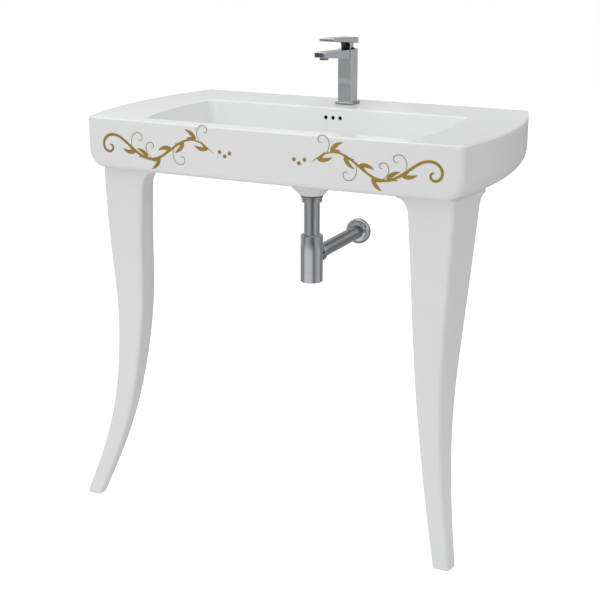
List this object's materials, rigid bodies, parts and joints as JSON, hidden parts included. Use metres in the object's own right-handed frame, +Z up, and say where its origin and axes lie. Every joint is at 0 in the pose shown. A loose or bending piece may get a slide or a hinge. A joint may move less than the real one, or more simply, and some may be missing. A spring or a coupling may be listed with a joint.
{
  "type": "console washbasin",
  "caption": "Console washbasin with bowed sides on sabre legs, with single-lever mixer tap, push waste and bottle trap to the wall.",
  "frame": {"origin": "on the floor, in the plane of symmetry, at the middle of the overall depth from the front of the feet to the end of the wall pipe", "axes": "+Z up, +Y from the basin's front to the wall, +X to the right of a person who faces the wall"},
  "size_m": [0.9, 0.573, 1.0155],
  "materials": {
    "ceramic": "gloss",
    "chrome": "polished",
    "black_plastic": "gloss",
    "cartridge_plastic": "satin",
    "brass": "machined",
    "steel": "zinc plated",
    "rubber": "matt",
    "nylon": "matt"
  },
  "bodies": {
    "washbasin": {"basin": "ceramic", "left_leg": "ceramic", "right_leg": "ceramic", "tap_body": "chrome", "tap_base_plate": "chrome", "aerator_housing": "chrome", "waste_body": "chrome", "tail_nut": "chrome", "tail_pipe": "chrome", "trap_collar": "chrome", "trap_body": "chrome", "trap_bottle": "chrome", "outlet_nut": "chrome", "wall_pipe": "chrome", "wall_rose": "chrome", "cartridge_cover": "black_plastic", "cartridge_body": "cartridge_plastic", "aerator_insert": "cartridge_plastic", "push_fitting": "cartridge_plastic", "cartridge_nut": "brass", "tap_stud_nut": "brass", "leg_bolts": "steel", "leg_washers": "steel", "leg_nuts": "steel", "tap_stud": "steel", "horseshoe_washer": "steel", "leg_gaskets": "rubber", "tap_base_seal": "rubber", "horseshoe_gasket": "rubber", "waste_top_seal": "rubber", "waste_lower_seal": "rubber", "tail_seal": "rubber", "trap_inlet_seal": "rubber", "trap_bottle_seal": "rubber", "outlet_seal": "rubber", "leg_plugs": "nylon", "waste_backnut": "nylon"},
    "turret": {"spindle_carrier": "cartridge_plastic", "pivot_pin": "steel"},
    "lever": {"lever": "chrome", "spindle": "brass", "lever_screw": "steel", "lever_screw_cap": "black_plastic"},
    "plug": {"waste_plug": "chrome", "plug_seal": "rubber"}
  },
  "joints": [
    {"name": "lever_turn", "type": "hinge", "parent": "washbasin", "child": "turret", "pos_m": [0, 0.1795, 0.966], "axis": [0, 0, 1], "range_deg": [-45, 45]},
    {"name": "lever_lift", "type": "hinge", "parent": "turret", "child": "lever", "pos_m": [0, 0.1795, 0.966], "axis": [-1, 0, 0], "range_deg": [0, 22]},
    {"name": "plug_pop_up", "type": "slide", "parent": "washbasin", "child": "plug", "axis": [0, 0, 1], "range_m": [0, 0.007]}
  ]
}
